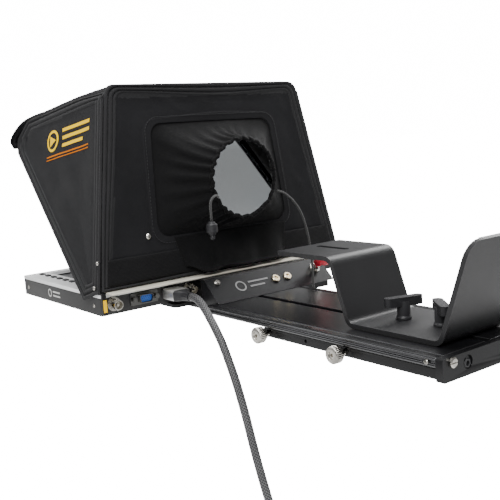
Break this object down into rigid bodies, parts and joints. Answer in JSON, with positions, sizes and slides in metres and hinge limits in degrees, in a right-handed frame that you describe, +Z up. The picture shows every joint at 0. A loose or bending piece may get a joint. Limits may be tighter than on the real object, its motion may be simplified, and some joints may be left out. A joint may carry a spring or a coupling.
{
  "type": "teleprompter",
  "caption": "Camera-mounted teleprompter: sliding base with camera riser, flat monitor facing up, angled beamsplitter glass and a folding black fabric hood with a rear lens shroud.",
  "frame": {"origin": "middle of the underside of the tripod plate", "axes": "+Z up, +Y forward towards the presenter, +X to the camera operator's right"},
  "size_m": [0.3214, 0.5309, 0.5449],
  "materials": {
    "black_anodised": "black anodised, satin",
    "powder_coat": "black powder coat",
    "steel": "nickel plated",
    "brass": "brass washer and bolt",
    "black_plastic": "moulded black",
    "monitor_case": "black painted sheet",
    "bezel": "grey gloss",
    "screen": "dark screen",
    "board": "circuit board",
    "red_plastic": "red knob",
    "yellow_plastic": "yellow tab",
    "pale_plastic": "off white",
    "blue_plastic": "socket insert",
    "beamsplitter": "half-silvered glass",
    "nylon": "black woven nylon",
    "shroud_cloth": "black stretch cloth",
    "cord": "black nylon cord",
    "cable_braid": "grey and black braid",
    "silver_plug": "silver plug shell"
  },
  "bodies": {
    "tripod_plate": {"tripod_plate": "black_anodised"},
    "base_plate": {"top_plate": "black_anodised", "rear_end_cap": "black_anodised", "end_cap_screw_left": "steel", "end_cap_screw_right": "steel", "head_bracket": "black_anodised", "ring_bolt_inner": "brass", "ring_bolt_outer": "brass", "bracket_screw": "steel", "plunger_barrel": "steel"},
    "riser": {"camera_riser": "powder_coat"},
    "release_knob": {"release_knob": "red_plastic"},
    "monitor_head": {"monitor_cradle": "black_anodised", "monitor_rear_shell": "monitor_case", "monitor_bezel": "bezel", "lcd_panel": "screen", "controller_board": "board", "bnc_socket_in": "steel", "bnc_socket_out": "steel", "vga_shell": "steel", "vga_insert": "blue_plastic", "digital_socket": "steel", "rear_ledge": "pale_plastic", "hinge_bracket_left": "black_anodised", "hinge_bracket_right": "black_anodised", "release_tab_left": "yellow_plastic", "release_tab_right": "yellow_plastic", "digital_plug": "silver_plug", "digital_cable": "cable_braid", "digital_cable_coil": "cable_braid", "digital_far_plug": "silver_plug", "cable_tie": "nylon"},
    "glass": {"glass_frame": "black_anodised", "beamsplitter_glass": "beamsplitter", "hinge_pin_left": "steel", "hinge_pin_right": "steel", "hood_side_left": "nylon", "hood_side_right": "nylon", "hood_top": "nylon"},
    "hood_back": {"hood_rear_panel": "nylon", "hood_snap": "steel", "lens_shroud": "shroud_cloth", "shroud_skirt": "nylon", "drawcord_long": "cord", "drawcord_short": "cord"},
    "cord_lock_long": {"cord_lock_long": "black_plastic"},
    "cord_lock_short": {"cord_lock_short": "black_plastic"},
    "t_handle_front": {"t_handle_screw_front": "black_plastic"},
    "t_handle_rear": {"t_handle_screw_rear": "black_plastic"},
    "menu_button_1": {"menu_button_1": "black_plastic"},
    "menu_button_2": {"menu_button_2": "black_plastic"},
    "menu_button_3": {"menu_button_3": "black_plastic"},
    "menu_button_4": {"menu_button_4": "black_plastic"},
    "menu_button_5": {"menu_button_5": "black_plastic"},
    "menu_button_6": {"menu_button_6": "black_plastic"},
    "menu_button_7": {"menu_button_7": "black_plastic"},
    "thumbscrew_rear_left": {"thumbscrew_rear_left": "steel"},
    "thumbscrew_front_left": {"thumbscrew_front_left": "steel"},
    "thumbscrew_rear_right": {"thumbscrew_rear_right": "steel"},
    "thumbscrew_front_right": {"thumbscrew_front_right": "steel"}
  },
  "joints": [
    {"name": "base_slide", "type": "slide", "parent": "tripod_plate", "child": "base_plate", "axis": [0, 1, 0], "range_m": [-0.03, 0]},
    {"name": "riser_slide", "type": "slide", "parent": "base_plate", "child": "riser", "axis": [0, 1, 0], "range_m": [-0.01, 0.045]},
    {"name": "head_slide", "type": "slide", "parent": "base_plate", "child": "monitor_head", "axis": [0, 1, 0], "range_m": [-0.004, 0.006]},
    {"name": "release_knob_pull", "type": "slide", "parent": "base_plate", "child": "release_knob", "axis": [0, -0.6945, 0.7195], "range_m": [0, 0.005], "stiffness_N_per_m": 600, "springref_m": -0.004},
    {"name": "glass_fold", "type": "hinge", "parent": "monitor_head", "child": "glass", "pos_m": [0, 0.245, 0.0463], "axis": [1, 0, 0], "range_deg": [-36, 0]},
    {"name": "hood_fold", "type": "hinge", "parent": "glass", "child": "hood_back", "pos_m": [0, 0.245, 0.0463], "axis": [1, 0, 0], "range_deg": [-34, 0], "deforming": ["hood_top", "drawcord_long", "drawcord_short"]},
    {"name": "cord_lock_long_slide", "type": "slide", "parent": "hood_back", "child": "cord_lock_long", "axis": [0, 0, 1], "range_m": [0, 0.035]},
    {"name": "cord_lock_short_slide", "type": "slide", "parent": "hood_back", "child": "cord_lock_short", "axis": [0, 0, 1], "range_m": [0, 0.01]},
    {"name": "t_handle_front_turn", "type": "hinge", "parent": "riser", "child": "t_handle_front", "pos_m": [0, -0.018, 0.03], "axis": [0, 0, 1], "range_deg": [0, 540]},
    {"name": "t_handle_rear_turn", "type": "hinge", "parent": "riser", "child": "t_handle_rear", "pos_m": [0, -0.057, 0.03], "axis": [0, 0, 1], "range_deg": [0, 540]},
    {"name": "thumbscrew_rear_left_turn", "type": "hinge", "parent": "tripod_plate", "child": "thumbscrew_rear_left", "pos_m": [-0.06, -0.005, 0.005], "axis": [-1, 0, 0], "range_deg": [0, 540]},
    {"name": "thumbscrew_front_left_turn", "type": "hinge", "parent": "tripod_plate", "child": "thumbscrew_front_left", "pos_m": [-0.06, 0.092, 0.005], "axis": [-1, 0, 0], "range_deg": [0, 540]},
    {"name": "thumbscrew_rear_right_turn", "type": "hinge", "parent": "tripod_plate", "child": "thumbscrew_rear_right", "pos_m": [0.06, -0.005, 0.005], "axis": [1, 0, 0], "range_deg": [0, 540]},
    {"name": "thumbscrew_front_right_turn", "type": "hinge", "parent": "tripod_plate", "child": "thumbscrew_front_right", "pos_m": [0.06, 0.092, 0.005], "axis": [1, 0, 0], "range_deg": [0, 540]},
    {"name": "menu_button_1_press", "type": "slide", "parent": "monitor_head", "child": "menu_button_1", "axis": [0, 0, -1], "range_m": [0, 0.0008], "stiffness_N_per_m": 400, "springref_m": -0.0008},
    {"name": "menu_button_2_press", "type": "slide", "parent": "monitor_head", "child": "menu_button_2", "axis": [0, 0, -1], "range_m": [0, 0.0008], "stiffness_N_per_m": 400, "springref_m": -0.0008},
    {"name": "menu_button_3_press", "type": "slide", "parent": "monitor_head", "child": "menu_button_3", "axis": [0, 0, -1], "range_m": [0, 0.0008], "stiffness_N_per_m": 400, "springref_m": -0.0008},
    {"name": "menu_button_4_press", "type": "slide", "parent": "monitor_head", "child": "menu_button_4", "axis": [0, 0, -1], "range_m": [0, 0.0008], "stiffness_N_per_m": 400, "springref_m": -0.0008},
    {"name": "menu_button_5_press", "type": "slide", "parent": "monitor_head", "child": "menu_button_5", "axis": [0, 0, -1], "range_m": [0, 0.0008], "stiffness_N_per_m": 400, "springref_m": -0.0008},
    {"name": "menu_button_6_press", "type": "slide", "parent": "monitor_head", "child": "menu_button_6", "axis": [0, 0, -1], "range_m": [0, 0.0008], "stiffness_N_per_m": 400, "springref_m": -0.0008},
    {"name": "menu_button_7_press", "type": "slide", "parent": "monitor_head", "child": "menu_button_7", "axis": [0, 0, -1], "range_m": [0, 0.0008], "stiffness_N_per_m": 400, "springref_m": -0.0008}
  ]
}
